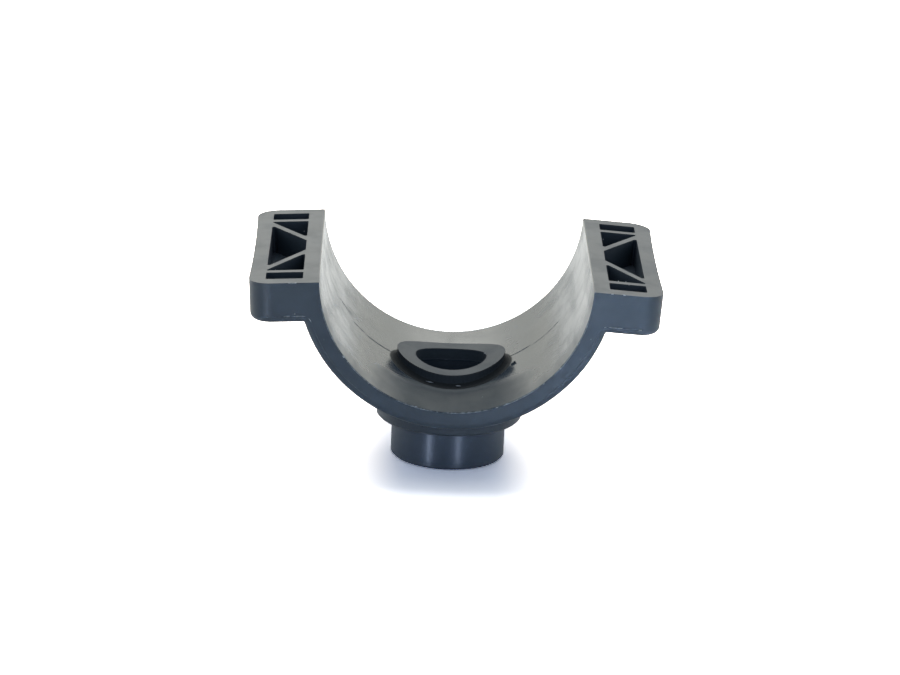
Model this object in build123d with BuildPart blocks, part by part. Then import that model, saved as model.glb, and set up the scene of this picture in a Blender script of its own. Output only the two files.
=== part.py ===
"""Outlet half of a tapping saddle for 63 mm pipe, with a 20 mm solvent-weld socket.

Millimetres. The origin is where the pipe's axis (Y) crosses the outlet's axis (Z).
The outlet points down, -Z; the two clamping flanges lie along X.
"""
import os
from math import cos, hypot, radians, sin, sqrt

from build123d import *

# ---------------------------------------------------------------- driving sizes
# shell
pipe_d = 63.0          # outside diameter of the pipe the saddle sits on
pipe_gap = 0.1         # clearance between the bore and that pipe, on the radius
length = 64.0          # saddle length along the pipe
shell_wall = 5.15      # wall beside the flanges
crown_thin = 0.6       # the wall is this much thinner at its lowest point

# flanges
face_drop = 1.4        # a flange face at the bore's edge, below the pipe's axis
droop = 3.4            # the flange faces fall away outwards by this angle, degrees
flange_w = 16.45       # flange width, from the bore's edge
flange_h = 9.7         # flange height, square to its face
corner_r = 5.2         # corners of a flange, seen from above
waist = 0.5            # hollow of the flange's long side
rim_r = 1.7            # rounding of the lower outside edge, all the way round
root_r = 0.4           # inside corner between flange and shell

# pockets in the flange faces
pocket_wall = 3.8      # wall between bore and pocket
pocket_w = 8.6
pocket_end_wall = 3.7  # wall between pocket and the saddle's end
pocket_depth = 6.4
slot_w = 5.3           # narrow cell at each end of a pocket
cross_t = 1.8          # cross rib beside it
diag_t = 1.6           # thickness of a diagonal rib
mid_half = 4.1         # half length of the middle cell, at the inner wall
foot_gap = 0.56        # length of a three-cornered cell, at the outer wall
cell_r = 0.4           # corners of the cells

# outlet
outlet_pipe_d = 20.0   # pipe that is cemented into the socket
socket_gap = 0.075     # clearance between socket and that pipe, on the radius
socket_wall = 3.525
socket_depth = 16.0
socket_edge = 0.6      # lead-in of the socket
stop_w = 1.575         # ledge that the pipe stops against
outlet_l = 9.65        # outlet below the pad
spigot_edge = 0.5      # outside edge of the outlet's end
pad_step = 3.8         # the round pad under the shell stands out by this
pad_drop = 6.3         # pad height below the shell
pad_edge = 0.5

# collar, which stands in the hole drilled in the pipe
collar_wall = 4.4
collar_h = 2.9         # height above the bore
collar_root_r = 1.1

# ---------------------------------------------------------------- derived sizes
bore_r = pipe_d / 2 + pipe_gap
outer_r = bore_r + shell_wall
outer_cz = crown_thin
half = length / 2
face_z = -face_drop
edge_x = sqrt(bore_r**2 - face_z**2)
d = radians(droop)

pocket_u0 = pocket_wall
pocket_u1 = pocket_wall + pocket_w
pocket_y = half - pocket_end_wall
cross_y1 = pocket_y - slot_w
cross_y0 = cross_y1 - cross_t

# a diagonal rib leans from the middle cell's inner corner to the cross rib's foot
diag_foot = cross_y0 - foot_gap
run = diag_foot - mid_half
lean = (run * pocket_w - diag_t * sqrt(run**2 + pocket_w**2 - diag_t**2)) / (pocket_w**2 - diag_t**2)
diag_y = diag_t * sqrt(1 + lean**2)

socket_r = outlet_pipe_d / 2 + socket_gap
spigot_r = socket_r + socket_wall
hole_r = socket_r - stop_w
pad_r = spigot_r + pad_step
pad_z = outer_cz - outer_r - pad_drop
end_z = pad_z - outlet_l
collar_r = hole_r + collar_wall


def face_plane(side):
    """Plane of a flange face: x outwards from the bore's edge, z out of the face."""
    return Plane(
        origin=(side * edge_x, 0, face_z),
        x_dir=(side * cos(d), 0, -sin(d)),
        z_dir=(side * sin(d), 0, cos(d)),
    )


def below_face(point, side):
    """Distance of a point below a flange face."""
    return -(point - Vector(side * edge_x, 0, face_z)).dot(Vector(side * sin(d), 0, cos(d)))


def across_face(point, side):
    """Distance of a point outwards from the bore's edge, along a flange face."""
    return (point - Vector(side * edge_x, 0, face_z)).dot(Vector(side * cos(d), 0, -sin(d)))


def on_underside(point, side):
    return abs(below_face(point, side) - flange_h) < 1e-3 and across_face(point, side) > 0


def on_shell_arc(point):
    return abs(hypot(point.X, point.Z - outer_cz) - outer_r) < 1e-3


def on_root_arc(edge):
    return edge.geom_type == GeomType.CIRCLE and abs(edge.radius - root_r) < 1e-6


def circle_edges(part, radius, z):
    """Edges of a level circle round the outlet's axis."""
    return [
        e
        for e in part.edges().filter_by(GeomType.CIRCLE)
        if all(
            abs(hypot((e @ t).X, (e @ t).Y) - radius) < 1e-3 and abs((e @ t).Z - z) < 1e-3
            for t in (0.1, 0.4, 0.8)
        )
    ]


with BuildPart() as saddle:
    # half-round shell, still solid, cut off along the two flange faces
    with BuildSketch(Plane.XZ):
        with Locations((0, outer_cz)):
            Circle(outer_r)
        ridge = face_z + edge_x * sin(d) / cos(d)
        far = 2 * outer_r
        drop = ridge - far * sin(d) / cos(d)
        with BuildLine():
            Polyline((0, ridge), (far, drop), (far, far), (-far, far), (-far, drop), (0, ridge))
        make_face(mode=Mode.SUBTRACT)
    extrude(amount=half, both=True)

    # flanges
    root_u = shell_wall / 2
    for side in (1, -1):
        with BuildSketch(face_plane(side)) as plan:
            with BuildLine():
                ThreePointArc((flange_w, -half), (flange_w - waist, 0), (flange_w, half))
                Polyline((flange_w, half), (root_u, half), (root_u, -half), (flange_w, -half))
            make_face()
            fillet(plan.vertices().sort_by(Axis.X)[-2:], corner_r)
        extrude(amount=-flange_h)

    # inside corners between flange and shell, then the long rounding round the lower edge
    roots = [
        e
        for e in saddle.edges().filter_by(Axis.Y)
        if on_shell_arc(e @ 0.5) and any(on_underside(e @ 0.5, s) for s in (1, -1))
    ]
    fillet(roots, root_r)
    rim = [
        e
        for e in saddle.edges()
        if (
            abs(abs((e @ 0.5).Y) - half) < 1e-3
            and (on_shell_arc(e @ 0.5) or any(on_underside(e @ 0.5, s) for s in (1, -1)))
        )
        or any(on_underside(e @ 0.5, s) and across_face(e @ 0.5, s) > flange_w / 2 for s in (1, -1))
        or (abs(abs((e @ 0.5).Y) - half) < 1e-3 and on_root_arc(e))
    ]
    fillet(rim, rim_r)

    # pad and outlet
    with BuildSketch(Plane.XY.offset(pad_z)):
        Circle(pad_r)
    extrude(amount=-pad_z)
    with BuildSketch(Plane.XY.offset(end_z)):
        Circle(spigot_r)
    extrude(amount=pad_z - end_z)
    chamfer(circle_edges(saddle, pad_r, pad_z), pad_edge)
    chamfer(circle_edges(saddle, spigot_r, end_z), spigot_edge)

    # bore
    with BuildSketch(Plane.XZ):
        Circle(bore_r)
    extrude(amount=half, both=True, mode=Mode.SUBTRACT)

    # collar: its top is the bore's arc, moved up
    with BuildPart(mode=Mode.PRIVATE) as collar:
        with BuildSketch(Plane.XY.offset(-bore_r - shell_wall / 2)):
            Circle(collar_r)
        extrude(amount=bore_r)
        with BuildSketch(Plane.XZ):
            with Locations((0, collar_h)):
                Circle(bore_r)
        extrude(amount=half, both=True, mode=Mode.SUBTRACT)
    add(collar.part)
    foot = [
        e
        for e in saddle.edges()
        if all(
            abs(hypot((e @ t).X, (e @ t).Z) - bore_r) < 1e-3
            and abs(hypot((e @ t).X, (e @ t).Y) - collar_r) < 1e-3
            for t in (0.1, 0.5, 0.9)
        )
    ]
    fillet(foot, collar_root_r)

    # socket and passage
    with BuildSketch(Plane.XY.offset(end_z)):
        Circle(socket_r)
    extrude(amount=socket_depth, mode=Mode.SUBTRACT)
    with BuildSketch(Plane.XY.offset(end_z)):
        Circle(hole_r)
    extrude(amount=-end_z, mode=Mode.SUBTRACT)
    chamfer(circle_edges(saddle, socket_r, end_z), socket_edge)

    # pockets in the flange faces
    for side in (1, -1):
        with BuildSketch(face_plane(side)) as cells:
            with BuildLine():
                Polyline(
                    (pocket_u0, -mid_half),
                    (pocket_u1, diag_y - diag_foot),
                    (pocket_u1, diag_foot - diag_y),
                    (pocket_u0, mid_half),
                    close=True,
                )
            make_face()
            for end in (1, -1):
                with BuildLine():
                    Polyline(
                        (pocket_u0, end * (mid_half + diag_y)),
                        (pocket_u1, end * diag_foot),
                        (pocket_u1, end * cross_y0),
                        (pocket_u0, end * cross_y0),
                        close=True,
                    )
                make_face()
                with Locations(((pocket_u0 + pocket_u1) / 2, end * (cross_y1 + pocket_y) / 2)):
                    Rectangle(pocket_w, slot_w)
            fillet(cells.vertices(), cell_r)
        extrude(amount=-pocket_depth, mode=Mode.SUBTRACT)

saddle.part.label = "saddle_half"
os.makedirs("parts", exist_ok=True)
export_step(saddle.part, "parts/saddle_half.step")
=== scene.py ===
"""Outlet half of a tapping saddle, standing on its outlet on a white studio floor."""

import random
from math import atan2, cos, pi, radians, sin, sqrt

import bpy
from mathutils import Matrix, Vector


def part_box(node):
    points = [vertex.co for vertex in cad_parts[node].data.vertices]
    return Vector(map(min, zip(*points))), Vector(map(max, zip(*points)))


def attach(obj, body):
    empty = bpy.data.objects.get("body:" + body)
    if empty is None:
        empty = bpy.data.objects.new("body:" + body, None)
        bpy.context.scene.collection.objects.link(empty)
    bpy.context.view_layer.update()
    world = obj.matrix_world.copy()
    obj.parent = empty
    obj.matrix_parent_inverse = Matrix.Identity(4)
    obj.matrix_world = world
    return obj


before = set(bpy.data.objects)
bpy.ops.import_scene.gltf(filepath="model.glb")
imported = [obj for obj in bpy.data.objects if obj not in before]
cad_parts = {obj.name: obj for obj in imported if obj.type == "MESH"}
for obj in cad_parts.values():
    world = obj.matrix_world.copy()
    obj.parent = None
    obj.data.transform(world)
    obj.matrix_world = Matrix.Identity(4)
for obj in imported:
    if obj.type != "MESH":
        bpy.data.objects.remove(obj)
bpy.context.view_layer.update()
scene = bpy.context.scene
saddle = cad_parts["saddle_half"]
low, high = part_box("saddle_half")
MM = 0.001

# ---------------------------------------------------------------- sizes of the part, mm
BORE_R = 31.6
HALF = high[1] / MM                # half the saddle's length
FACE_Z = -1.4                      # flange face at the bore's edge
EDGE_X = sqrt(BORE_R**2 - FACE_Z**2)
DROOP = radians(3.4)               # the flange faces fall away outwards
FLANGE_H = 9.7
RIM_R = 1.7                        # rounding of the lower outside edge
ROOT_R = 0.4                       # inside corner between flange and shell
OUTER_R = 36.75                    # outside of the shell, and the height of its centre
OUTER_CZ = 0.6
COLLAR_R = 12.9
COLLAR_H = 2.9
OUTLET_L = 9.65
FLOOR_Z = low[2] / MM              # the outlet's end

# ---------------------------------------------------------------- camera
SENSOR = 36                        # mm
LENS = 153.25                      # mm
DISTANCE = 0.9142                  # camera to the point it looks at
ELEVATION = radians(17.1)
AZIMUTH = radians(-1.2)            # the camera stands a little to one side
ROLL = radians(2.4)
AIM = Vector((-0.43, 0.0, -23.3)) * MM


def add_camera():
    forward = Vector((0, cos(ELEVATION), -sin(ELEVATION)))
    right = Vector((1, 0, 0))
    up = right.cross(forward)
    rolled_right = cos(ROLL) * right + sin(ROLL) * up
    rolled_up = -sin(ROLL) * right + cos(ROLL) * up
    turn = Matrix.Rotation(AZIMUTH, 4, "Z")
    basis = Matrix((rolled_right, rolled_up, -forward)).transposed().to_4x4()
    place = Matrix.Translation(AIM - forward * DISTANCE)
    camera = bpy.data.objects.new("camera", bpy.data.cameras.new("camera"))
    camera.data.lens = LENS
    camera.data.sensor_width = SENSOR
    camera.data.clip_start = 0.01
    camera.matrix_world = turn @ place @ basis
    scene.collection.objects.link(camera)
    scene.camera = camera


add_camera()


# ---------------------------------------------------------------- material helpers
class Nodes:
    """Short calls for building a node tree."""

    def __init__(self, owner):
        owner.use_nodes = True
        self.tree = owner.node_tree
        self.tree.nodes.clear()

    def add(self, kind, **inputs):
        """A new node; inputs are set or linked by name, or by number as i0, i1, ..."""
        node = self.tree.nodes.new(kind)
        for name, value in inputs.items():
            by_number = name[0] == "i" and name[1:].isdigit()
            socket = node.inputs[int(name[1:]) if by_number else name.replace("_", " ")]
            self.put(socket, value)
        return node

    def put(self, socket, value):
        if isinstance(value, bpy.types.NodeSocket):
            self.tree.links.new(value, socket)
        else:
            socket.default_value = value

    def math(self, operation, a, b=0.0):
        node = self.add("ShaderNodeMath", i0=a, i1=b)
        node.operation = operation
        return node.outputs[0]

    def plus(self, a, b):
        return self.math("ADD", a, b)

    def times(self, *factors):
        product = factors[0]
        for factor in factors[1:]:
            product = self.math("MULTIPLY", product, factor)
        return product

    def most(self, *values):
        result = values[0]
        for value in values[1:]:
            result = self.math("MAXIMUM", result, value)
        return result

    def absolute(self, a):
        return self.math("ABSOLUTE", a)

    def less(self, a):
        """One minus a."""
        return self.math("SUBTRACT", 1.0, a)

    def radius(self, a, b):
        return self.math("SQRT", self.plus(self.times(a, a), self.times(b, b)))

    def step(self, value, start, end, before=0.0, after=1.0):
        """Smooth step: before at start, after at end."""
        limits = {"From_Min": start, "From_Max": end, "To_Min": before, "To_Max": after}
        node = self.add("ShaderNodeMapRange", Value=value, **limits)
        node.interpolation_type = "SMOOTHSTEP"
        return node.outputs[0]

    def within(self, value, inner, outer):
        """One up to inner, falling smoothly to nothing at outer."""
        return self.step(value, inner, outer, 1.0, 0.0)

    def noise(self, vector, size, detail=2.0, roughness=0.5, stretch=(1, 1, 1), shift=0.0):
        """Noise with features of the given size; the vector is in millimetres."""
        scale = [s / size for s in stretch]
        place = self.add("ShaderNodeMapping", Vector=vector, Scale=scale, Location=[shift] * 3)
        grain = {"Scale": 1.0, "Detail": detail, "Roughness": roughness}
        return self.add("ShaderNodeTexNoise", Vector=place.outputs[0], **grain).outputs["Fac"]

    def mix(self, factor, a, b):
        node = self.add("ShaderNodeMix")
        node.data_type = "RGBA"
        node.clamp_factor = True
        for socket, value in zip([s for s in node.inputs if s.enabled], (factor, a, b)):
            self.put(socket, value)
        return [s for s in node.outputs if s.enabled][0]

    def bump(self, height, strength, depth):
        """Relief; depth in millimetres."""
        distance = depth * MM
        return self.add("ShaderNodeBump", Strength=strength, Distance=distance, Height=height)

    def mix_shader(self, factor, a, b):
        return self.add("ShaderNodeMixShader", Fac=factor, i1=a, i2=b).outputs[0]

    def place(self, unit=1.0):
        """Where a point is on its object, in metres or in the given unit."""
        here = self.add("ShaderNodeTexCoord").outputs["Object"]
        if unit == 1.0:
            return here
        return self.add("ShaderNodeMapping", Vector=here, Scale=[1 / unit] * 3).outputs[0]

    def split(self, vector):
        return self.add("ShaderNodeSeparateXYZ", Vector=vector).outputs[:3]


# ---------------------------------------------------------------- the part's material
BASE = (0.046, 0.064, 0.086, 1)
BASE_DARK = (0.036, 0.052, 0.072, 1)
BASE_PALE = (0.085, 0.100, 0.112, 1)    # grit
# painted light: a bluer, paler copy of the base colour on the outlet, standing in for cool light
# bounced up from the floor
BASE_PAINTED_COOL_LIGHT = (0.060, 0.086, 0.130, 1)    # the outlet
BASE_DULL = (0.026, 0.038, 0.040, 1)
# painted light: a pale colour on the bore close in front of the collar, lifting the dark reflection
# of the collar's wall there
BASE_PAINTED_LIGHT_FRONT = (0.15, 0.17, 0.18, 1)      # the bore in front of the collar
# painted shade: near black on the collar's wall and the fillet at its foot, which stand in shade
# inside the bore
BASE_PAINTED_SKIRT_SHADE = (0.010, 0.012, 0.012, 1)   # the collar's wall and foot
PVC_IOR = 1.5

SATIN = 0.37                       # roughness of the mould's satin faces
POLISH = 0.17                      # and of the bore
UNEVEN = 0.06                      # how much both vary
DULLED = 0.54                      # and what a fully dull place adds

# where the finish changes, mm: smooth steps from the first number to the second
BORE_SKIN = (0.12, 0.3)                          # off the bore's radius
OUTLET_TOP = (FLOOR_Z + OUTLET_L - 0.25, FLOOR_Z + OUTLET_L + 0.15)
RING_RHO = (BORE_R - 0.6, BORE_R - 0.3)          # the collar's top
RING_R = (COLLAR_R + 2.0, COLLAR_R + 2.5)
SKIRT_START = (COLLAR_R - 0.1, COLLAR_R + 0.1)   # its wall and the fillet at its foot
SKIRT_END = (COLLAR_R + 1.3, COLLAR_R + 2.0)
SKIRT_RHO = (BORE_R + 0.2, BORE_R + 0.5)
APRON_Y = (-8.0, -14.0)                          # dull in front of the collar
APRON_X = (9.0, 22.0)
APRON_FRAY = 5.0                                 # how far its border wanders
LIP_Y = (-20.0, -29.0)                           # a little dull toward the front edge
LIP_DULL = 0.22
# where the painted light close in front of the collar lies
PAINTED_LIGHT_Y = (-9.0, -13.0)                          # pale close in front of the collar
PAINTED_LIGHT_R = (COLLAR_R + 2.0, COLLAR_R + 5.0)
ROUGHER_X = (20.0, 40.0)                         # the right side

# sizes of the noise, mm
CLOUD = 14.0
GRIT = 0.45
PATCH = 7.0
WIPE = 6.0
FRAY = 9.0                         # border of the dull apron in front of the collar
WAVE, WAVE_DEPTH = 9.0, 0.22
GRAIN, GRAIN_DEPTH = 0.35, 0.006
FLECK = 0.6


def pvc(name):
    """Slate-grey PVC: satin outside, polished in the bore, dull round the collar."""
    mat = bpy.data.materials.new(name)
    n = Nodes(mat)
    mm = n.place(MM)
    x, y, z = n.split(mm)
    rho = n.radius(x, z)           # from the pipe's axis
    out_r = n.radius(x, y)         # from the outlet's axis

    # places, each a mask from 0 to 1
    bore = n.within(n.absolute(n.math("SUBTRACT", rho, BORE_R)), *BORE_SKIN)
    outlet = n.within(z, *OUTLET_TOP)
    ring = n.times(n.within(rho, *RING_RHO), n.within(out_r, *RING_R))
    # the collar's wall and foot: painted shade there, and also dulled
    skirt = n.times(n.step(out_r, *SKIRT_START), n.within(out_r, *SKIRT_END))
    skirt = n.times(skirt, n.within(rho, *SKIRT_RHO))
    ahead = n.step(n.plus(y, n.times(n.noise(mm, FRAY), APRON_FRAY)), *APRON_Y)
    apron = n.times(bore, n.times(ahead, n.within(n.absolute(x), *APRON_X)))
    lip = n.times(bore, n.step(y, *LIP_Y, 0.0, LIP_DULL))
    # painted light: pale close in front of the collar, on the bore, off its wall and foot
    painted_light_front = n.times(n.within(out_r, *PAINTED_LIGHT_R), n.step(y, *PAINTED_LIGHT_Y), n.less(skirt), bore)
    dull = n.most(n.times(ring, 0.45), lip, apron, n.times(skirt, 1.2))

    # colour: faint clouding, painted cool light on the outlet, pale grit, darker where it is dull,
    # painted light close in front of the collar, painted shade on the collar's wall and foot
    cloud = n.noise(mm, CLOUD, detail=3, roughness=0.6)
    grit = n.step(n.noise(mm, GRIT, detail=1), 0.74, 0.80)
    colour = n.mix(n.step(cloud, 0.35, 0.68), BASE_DARK, BASE)
    for mask, share, shade in (
        (outlet, 0.85, BASE_PAINTED_COOL_LIGHT),
        (grit, 0.35, BASE_PALE),
        (dull, 0.4, BASE_DULL),
        (painted_light_front, 0.6, BASE_PAINTED_LIGHT_FRONT),
        (skirt, 0.8, BASE_PAINTED_SKIRT_SHADE),
    ):
        colour = n.mix(n.times(mask, share), colour, shade)

    # roughness
    patch = n.step(n.noise(mm, PATCH, detail=3, roughness=0.55, shift=3.7), 0.40, 0.66)
    wiped = n.noise(mm, WIPE, detail=3, stretch=(1.0, 0.22, 1.0), shift=9.1)
    wipe = n.step(wiped, 0.42, 0.62)
    satin = n.plus(SATIN, n.times(n.plus(patch, n.step(x, *ROUGHER_X)), UNEVEN))
    polish = n.plus(POLISH, n.times(n.plus(patch, wipe), UNEVEN))
    rough = n.plus(n.times(satin, n.less(bore)), n.times(polish, bore))
    rough = n.plus(rough, n.times(dull, DULLED))

    # relief: slow waves of the moulded bore, a fine satin grain all over
    wave = n.noise(mm, WAVE, detail=2, roughness=0.45, stretch=(1.0, 0.55, 1.0), shift=5.3)
    slow = n.bump(n.times(wave, bore), 0.5, WAVE_DEPTH)
    fine = n.bump(n.noise(mm, GRAIN, detail=2), 0.35, GRAIN_DEPTH)
    n.put(fine.inputs["Normal"], slow.outputs[0])
    look = {"Base_Color": colour, "Roughness": rough, "Normal": fine.outputs[0]}
    bsdf = n.add("ShaderNodeBsdfPrincipled", IOR=PVC_IOR, **look)
    n.add("ShaderNodeOutputMaterial", Surface=bsdf.outputs[0])
    return mat


def flash(name, tint):
    """Torn plastic in the given pale colour, flecked; the pale colour is a painted highlight."""
    mat = bpy.data.materials.new(name)
    n = Nodes(mat)
    mm = n.place(MM)
    fleck = n.step(n.noise(mm, FLECK, detail=3), 0.35, 0.65)
    colour = n.mix(fleck, (*tint, 1), [0.6 * c for c in tint] + [1])
    bsdf = n.add("ShaderNodeBsdfPrincipled", Base_Color=colour, Roughness=0.55, IOR=PVC_IOR)
    n.add("ShaderNodeOutputMaterial", Surface=bsdf.outputs[0])
    return mat


GREY = pvc("grey_pvc")
PALE_FLASH_PAINTED_HIGHLIGHT = flash("pale_flash_painted_highlight", (0.42, 0.46, 0.49))
DULL_FLASH_PAINTED_HIGHLIGHT = flash("dull_flash_painted_highlight", (0.13, 0.155, 0.18))
# painted highlight along the bore's front edge
EDGE_PAINTED_HIGHLIGHT = flash("edge_painted_highlight", (0.24, 0.27, 0.30))

saddle.data.materials.clear()
saddle.data.materials.append(GREY)


# ---------------------------------------------------------------- mould flash and burrs
SINK = 0.05                        # how far flash reaches into the surface it stands on
TAPER = 6                          # a ridge's ends narrow over a sixth of its length
FORWARD = Vector((0, -1, 0))
UP = Vector((0, 0, 1))


def finish_piece(name, verts, faces, material):
    mesh = bpy.data.meshes.new(name)
    mesh.from_pydata([v * MM for v in verts], [], faces)
    mesh.validate()
    piece = bpy.data.objects.new(name, mesh)
    mesh.materials.append(material)
    scene.collection.objects.link(piece)
    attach(piece, "root")


class Ridge:
    """Thin ridges with a three-cornered section, and specks, gathered into one mesh."""

    def __init__(self, seed):
        self.verts, self.faces = [], []
        self.rng = random.Random(seed)

    def run(self, rows, width, height, ragged=0.35):
        """rows: (point, up) along the ridge, in mm; its ends taper to nothing."""
        start = len(self.verts)
        count = len(rows)
        for i, (point, up) in enumerate(rows):
            ahead = rows[min(i + 1, count - 1)][0] - rows[max(i - 1, 0)][0]
            across = ahead.cross(up).normalized()
            taper = min(1.0, TAPER * i / (count - 1), TAPER * (count - 1 - i) / (count - 1))
            size = max(0.05, taper * (1 + ragged * self.rng.uniform(-1, 1)))
            self.verts += [
                point - across * width / 2 * size - up * SINK,
                point + up * height * size,
                point + across * width / 2 * size - up * SINK,
            ]
        for i in range(count - 1):
            a = start + 3 * i
            self.faces += [
                (a, a + 3, a + 4, a + 1),
                (a + 1, a + 4, a + 5, a + 2),
                (a + 2, a + 5, a + 3, a),
            ]
        last = start + 3 * (count - 1)
        self.faces += [(start, start + 1, start + 2), (last, last + 2, last + 1)]

    def broken(self, rows, width, height, keep):
        """The same, in pieces: keep gives (start, end) shares of the run."""
        for a, b in keep:
            i, j = round(a * (len(rows) - 1)), round(b * (len(rows) - 1))
            if j - i >= 2:
                self.run(rows[i:j + 1], width, height)

    def chip(self, point, up, size):
        """A torn speck: an uneven little pyramid."""
        start = len(self.verts)
        side = up.orthogonal().normalized()
        other = up.cross(side)
        corners = 6
        for k in range(corners):
            angle = 2 * pi * k / corners + self.rng.uniform(-0.3, 0.3)
            reach = size / 2 * self.rng.uniform(0.55, 1.25)
            corner = point + side * cos(angle) * reach + other * sin(angle) * reach
            self.verts.append(corner - up * SINK)
        self.verts.append(point + up * size * self.rng.uniform(0.35, 0.6))
        top = start + corners
        self.faces += [(start + k, start + (k + 1) % corners, top) for k in range(corners)]
        self.faces.append(tuple(range(start + corners - 1, start - 1, -1)))


def bore_rows(y, start, end, step=0.4):
    """Points on the bore along an arc; angles in degrees from its lowest line."""
    count = max(3, int(abs(end - start) / step))
    rows = []
    for i in range(count + 1):
        t = radians(start + (end - start) * i / count)
        rows.append((Vector((BORE_R * sin(t), y, -BORE_R * cos(t))), Vector((-sin(t), 0, cos(t)))))
    return rows


def edge_rows(inset=0.15, reach=84, step=0.5):
    """Points on the front face along the bore's edge, both ways from its lowest line."""
    rows = []
    for i in range(int(2 * reach / step) + 1):
        t = radians(-reach + i * step)
        r = BORE_R + inset
        rows.append((Vector((r * sin(t), -HALF, -r * cos(t))), FORWARD))
    return rows


def face_point(side, u, depth, y):
    """A point on or under a flange face: u outwards from the bore's edge."""
    return Vector((
        side * (EDGE_X + u * cos(DROOP) - depth * sin(DROOP)),
        y,
        FACE_Z - u * sin(DROOP) - depth * cos(DROOP),
    ))


def root_centre(side, far):
    """Centre of the inside corner between flange and shell, on the front end, and its u,
    which is less than far. Its distance from the shell's centre tells where it is."""
    near = 0.0
    for _ in range(50):
        u = (near + far) / 2
        p = face_point(side, u, FLANGE_H + ROOT_R, -HALF)
        if sqrt(p.x**2 + (p.z - OUTER_CZ)**2) < OUTER_R + ROOT_R:
            near = u
        else:
            far = u
    return p, u


def rim_rows(side, u_far, shell_end=30, straight=60, bend=24, arc=120):
    """Inner border of the rounding on the front end: along a flange from u_far, round the
    inside corner and down the shell to the given angle from its lowest point, in degrees.
    The last three are the steps of each stretch."""
    centre, u_root = root_centre(side, u_far)
    rows = []
    for i in range(straight + 1):
        u = u_far + (u_root - u_far) * i / straight
        rows.append((face_point(side, u, FLANGE_H - RIM_R, -HALF), FORWARD))
    a0 = atan2(cos(DROOP), side * sin(DROOP))
    a1 = atan2(OUTER_CZ - centre.z, -centre.x)
    for i in range(1, bend + 1):
        a = a0 + (a1 - a0) * i / bend
        rows.append((centre + Vector((cos(a), 0, sin(a))) * (ROOT_R + RIM_R), FORWARD))
    t0 = atan2(side * centre.x, OUTER_CZ - centre.z)
    r = OUTER_R - RIM_R
    for i in range(1, arc + 1):
        t = t0 + (radians(shell_end) - t0) * i / arc
        rows.append((Vector((side * r * sin(t), -HALF, OUTER_CZ - r * cos(t))), FORWARD))
    return rows


bore_edge = edge_rows()
left_rim = rim_rows(-1, 12.6)
right_rim = rim_rows(1, 13.4)

# parting line of the two core halves, up both walls from the collar
SEAM_Y = 2.6
seam = Ridge(11)
for shift, start, end, width, height, ragged in (
    (0.0, -25.5, -41, 0.16, 0.09, 0.15),
    (0.5, -40, -49, 0.12, 0.06, 0.2),
    (4.0, -48, -59, 0.12, 0.06, 0.3),
    (0.0, 25.5, 37, 0.16, 0.09, 0.15),
    (-0.6, 36, 56, 0.11, 0.05, 0.3),
):
    seam.run(bore_rows(SEAM_Y + shift, start, end), width, height, ragged)
finish_piece("seam", seam.verts, seam.faces, GREY)

# flash and specks, their pale colour a painted highlight: front edge of the bore, rounding of the
# flanges, specks
pale = Ridge(23)
pale.broken(bore_edge, 0.24, 0.06, [
    (0.178, 0.185), (0.224, 0.232), (0.272, 0.281), (0.335, 0.342), (0.38, 0.386), (0.462, 0.468),
    (0.525, 0.531), (0.61, 0.618), (0.665, 0.672), (0.742, 0.75), (0.81, 0.818),
])
pale.broken(left_rim, 0.20, 0.07, [(0.14, 0.20), (0.205, 0.33), (0.36, 0.412)])
pale.broken(right_rim, 0.20, 0.07, [(0.05, 0.075), (0.18, 0.30), (0.315, 0.34)])
for side, u0, u1 in ((-1, 5.0, 7.2), (1, 3.8, 4.4), (1, 6.6, 7.2)):      # top front edge
    outwards = [face_point(side, u0 + (u1 - u0) * i / 12, 0.0, -HALF) for i in range(13)]
    pale.run([(point, Vector((0, -0.6, 0.8))) for point in outwards], 0.22, 0.10)
for angle, size in (                                                     # edge of the bore
    (-53.2, 0.75), (-50.5, 0.35), (-75, 0.3), (51.0, 0.6), (63.5, 0.35), (72, 0.25),
):
    t = radians(angle)
    place = Vector((BORE_R * sin(t), -HALF, -BORE_R * cos(t)))
    pale.chip(place, Vector((0, -0.8, 0.6)), size)
for x, z, size in (                                                      # front faces
    (-36.9, -9.15, 0.45), (31.3, -12.7, 0.32), (29.1, -17.5, 0.26), (-30.1, -15.1, 0.2),
):
    pale.chip(Vector((x, -HALF, z)), FORWARD, size)
for x, y, rise, size in (                                                # bore and collar
    (7.3, -22.2, 0.0, 0.34), (8.1, 2.3, COLLAR_H, 0.5), (8.4, 1.2, COLLAR_H, 0.35),
):
    pale.chip(Vector((x, y, rise - sqrt(BORE_R**2 - x**2))), UP, size)
for side, u, y, size in (                                                # ribs and flange faces
    (1, 6.1, -20.9, 0.36), (1, 7.8, -20.7, 0.32), (1, 8.4, -23.3, 0.25),
    (-1, 4.6, 12.0, 0.22), (1, 4.2, 14.5, 0.25), (-1, 10.4, -20.8, 0.25),
):
    pale.chip(face_point(side, u, 0.0, y), UP, size)
for up, width, height, points in (                                       # the collar's foot
    ((0, -0.5, 0.87), 0.3, 0.16, (
        (-6.0, -11.9, -30.55), (-5.4, -12.25, -30.6), (-4.7, -12.5, -30.65), (-4.1, -12.7, -30.7),
    )),
    ((0, -0.3, 0.95), 0.26, 0.14, [(x, -13.35, -31.05) for x in (1.1, 1.5, 1.9, 2.4)]),
):
    pale.run([(Vector(point), Vector(up)) for point in points], width, height)
finish_piece("pale_flash_painted_highlight", pale.verts, pale.faces, PALE_FLASH_PAINTED_HIGHLIGHT)

# painted highlight: a thin pale line along the rest of the bore's front edge, standing in for the
# light on an edge rounding
line = Ridge(29)
line.broken(bore_edge, 0.34, 0.04, [
    (0.03, 0.177), (0.19, 0.334), (0.345, 0.461), (0.47, 0.609), (0.62, 0.741), (0.755, 0.97),
])
finish_piece("edge_painted_highlight", line.verts, line.faces, EDGE_PAINTED_HIGHLIGHT)

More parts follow.
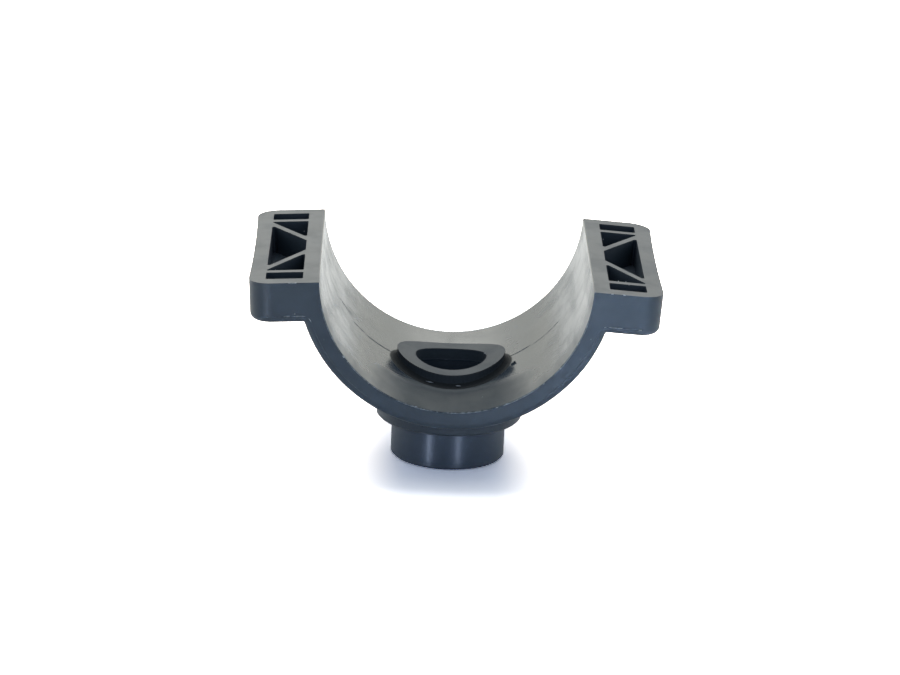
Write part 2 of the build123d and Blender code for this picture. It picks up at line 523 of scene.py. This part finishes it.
# dull flash: the rest of the rounding's border and the burr at the collar's foot; real ridges,
# coloured paler than the part as a faint painted highlight
dull = Ridge(37)
dull.broken(left_rim, 0.16, 0.05, [(0.0, 0.14), (0.42, 0.98)])
dull.broken(right_rim, 0.16, 0.05, [(0.075, 0.18), (0.34, 0.98)])
burr = [Vector((14.2 + 0.16 * i, -4.6 + 0.12 * i, -28.1 + 0.10 * i)) for i in range(8)]
dull.run([(point, Vector((0.2, -0.6, 0.77))) for point in burr], 0.5, 0.35, 0.1)
finish_piece("dull_flash_painted_highlight", dull.verts, dull.faces, DULL_FLASH_PAINTED_HIGHLIGHT)


# ---------------------------------------------------------------- floor, world and lamps
# where the floor's colours change, m from the outlet's axis
NEAR_FOOT = (0.025, 0.10)
TO_BACK = (-0.12, 0.08)
SHADOW_X = (0.009, 0.023)          # either way
SHADOW_Y = (0.015, 0.036)

# and the world's, as parts of the direction: y, then x either way
BEHIND = (-0.4, 0.85)
BESIDE = (0.6, 0.98)
BESIDE_SHARE = 0.85


def white_floor():
    """A white sheet. The camera sees a colour that clips to white all but in the shadow, which
    painted shade in that colour deepens along the foot and cuts short to its left and right.
    Reflections and bounced light see a bluer, darker one near the part's foot, a painted shadow;
    reflections see it paler behind the part, painted light."""
    mat = bpy.data.materials.new("white_floor")
    n = Nodes(mat)
    path = n.add("ShaderNodeLightPath")
    here = n.place()
    x, y, _ = n.split(here)
    reach = n.add("ShaderNodeVectorMath", i0=here)
    reach.operation = "LENGTH"
    away = n.step(reach.outputs["Value"], *NEAR_FOOT)

    # painted shadow: bounced light and reflections see the floor bluer and darker near the part's
    # foot
    bounced = n.mix(away, (0.52, 0.62, 0.80, 1), (0.80, 0.82, 0.84, 1))
    in_front = n.mix(away, (0.28, 0.40, 0.62, 1), (0.60, 0.72, 0.88, 1))
    # painted light: reflections see the floor paler behind the part than in front
    mirrored = n.mix(n.step(y, *TO_BACK), in_front, (1.5, 1.5, 1.45, 1))
    # painted shadow: the camera's colour is darker along the foot and brighter to its left and
    # right, so the shadow to be seen is deepest along the foot and ends soon to its left and right
    shade = n.mix(n.step(n.absolute(y), *SHADOW_Y), (2.0, 2.1, 2.4, 1), (3.0, 2.95, 3.0, 1))
    seen = n.mix(n.step(n.absolute(x), *SHADOW_X), shade, (4.6, 4.3, 4.1, 1))

    sheets = [n.add("ShaderNodeBsdfDiffuse", Color=c).outputs[0] for c in (bounced, mirrored, seen)]
    sheet = n.mix_shader(path.outputs["Is Glossy Ray"], sheets[0], sheets[1])
    sheet = n.mix_shader(path.outputs["Is Camera Ray"], sheet, sheets[2])
    n.add("ShaderNodeOutputMaterial", Surface=sheet)
    bpy.ops.mesh.primitive_plane_add(size=8, location=(0, 0, low[2]))
    floor = bpy.context.object
    floor.name = "floor"
    floor.data.materials.append(mat)


def studio_world():
    """White to the camera. To other rays, pale behind the part and beside it, and a grey
    room in front."""
    world = bpy.data.worlds.new("studio")
    scene.world = world
    n = Nodes(world)
    path = n.add("ShaderNodeLightPath")
    x, y, _ = n.split(n.add("ShaderNodeTexCoord").outputs["Generated"])
    beside = n.step(n.absolute(x), *BESIDE, 0.0, BESIDE_SHARE)
    room = n.most(n.step(y, *BEHIND), beside)
    mirrored = n.mix(room, (0.24, 0.29, 0.36, 1), (1.0, 1.0, 0.90, 1))
    spread = n.mix(room, (0.15, 0.185, 0.235, 1), (0.94, 0.94, 0.90, 1))
    colour = n.mix(path.outputs["Is Glossy Ray"], spread, mirrored)
    around = n.add("ShaderNodeBackground", Color=colour, Strength=1.0).outputs[0]
    white = n.add("ShaderNodeBackground", Color=(1, 1, 1, 1), Strength=1.0).outputs[0]
    seen = n.most(path.outputs["Is Camera Ray"], path.outputs["Is Transmission Ray"])
    n.add("ShaderNodeOutputWorld", Surface=n.mix_shader(seen, around, white))


def lamp(name, place, target, width, height, power, colour):
    """Soft box; places in metres."""
    data = bpy.data.lights.new(name, "AREA")
    data.shape = "RECTANGLE"
    data.size, data.size_y = width, height
    data.energy = power
    data.color = colour
    box = bpy.data.objects.new(name, data)
    box.location = place
    box.rotation_euler = (Vector(place) - Vector(target)).to_track_quat("Z", "Y").to_euler()
    scene.collection.objects.link(box)
    return box


def streak(name, foot, azimuth, distance, bottom, top, width, radiance):
    """A narrow lamp in front of an upright wall, facing it, that shows there as a streak
    and lights nothing else. In mm: the point at the wall, the way out from it, the heights."""
    height = top - bottom
    out = Matrix.Rotation(radians(azimuth), 3, "Z") @ Vector((0, -distance, 0))
    wall = Vector((*foot, (bottom + top) / 2))
    power = radiance * pi * width * height * MM**2
    strip = lamp(name, (wall + out) * MM, wall * MM, width * MM, height * MM, power, ICE)
    strip.visible_camera = False
    strip.visible_diffuse = False


WARM = (1.0, 0.995, 0.97)
WARMER = (1.0, 0.99, 0.94)
COOL = (0.85, 0.95, 1.10)
ICE = (0.82, 0.93, 1.15)
CENTRE = (0, 0, -0.03)
BACKDROP = (0, 0.4, -0.05)
FOOT = (0, 0, -0.04)

white_floor()
studio_world()
lamp("top", (0, 0.15, 1.2), CENTRE, 1.0, 1.0, 4.5, WARM)
lamp("back", (0, 1.0, 0.5), BACKDROP, 1.6, 0.6, 2.7, WARMER)
lamp("strip_left", (-0.60, -0.88, 0.20), FOOT, 0.06, 0.5, 0.45, COOL)
lamp("strip_right", (0.34, -1.02, 0.20), FOOT, 0.06, 0.5, 0.60, COOL)
# a bright place on the floor, whose bounce lifts the right side of the front
patch = lamp("floor_right", (0.07, -0.14, 0.30), (0.07, -0.14, 0.0), 0.05, 0.05, 0.17, COOL)
patch.data.spread = radians(26)
patch.visible_camera = False
streak("streak_left", (-4.6, -12.8), -38.2, 4, FLOOR_Z, FLOOR_Z + 8.5, 1.3, 6.2)
streak("streak_right", (2.3, -13.4), 20.5, 4, FLOOR_Z, FLOOR_Z + 8.5, 1.7, 3.9)
streak("streak_corner", (-43.9, -31.9), -25, 30, -28, -8, 6, 3.2)

scene.view_settings.view_transform = "Standard"
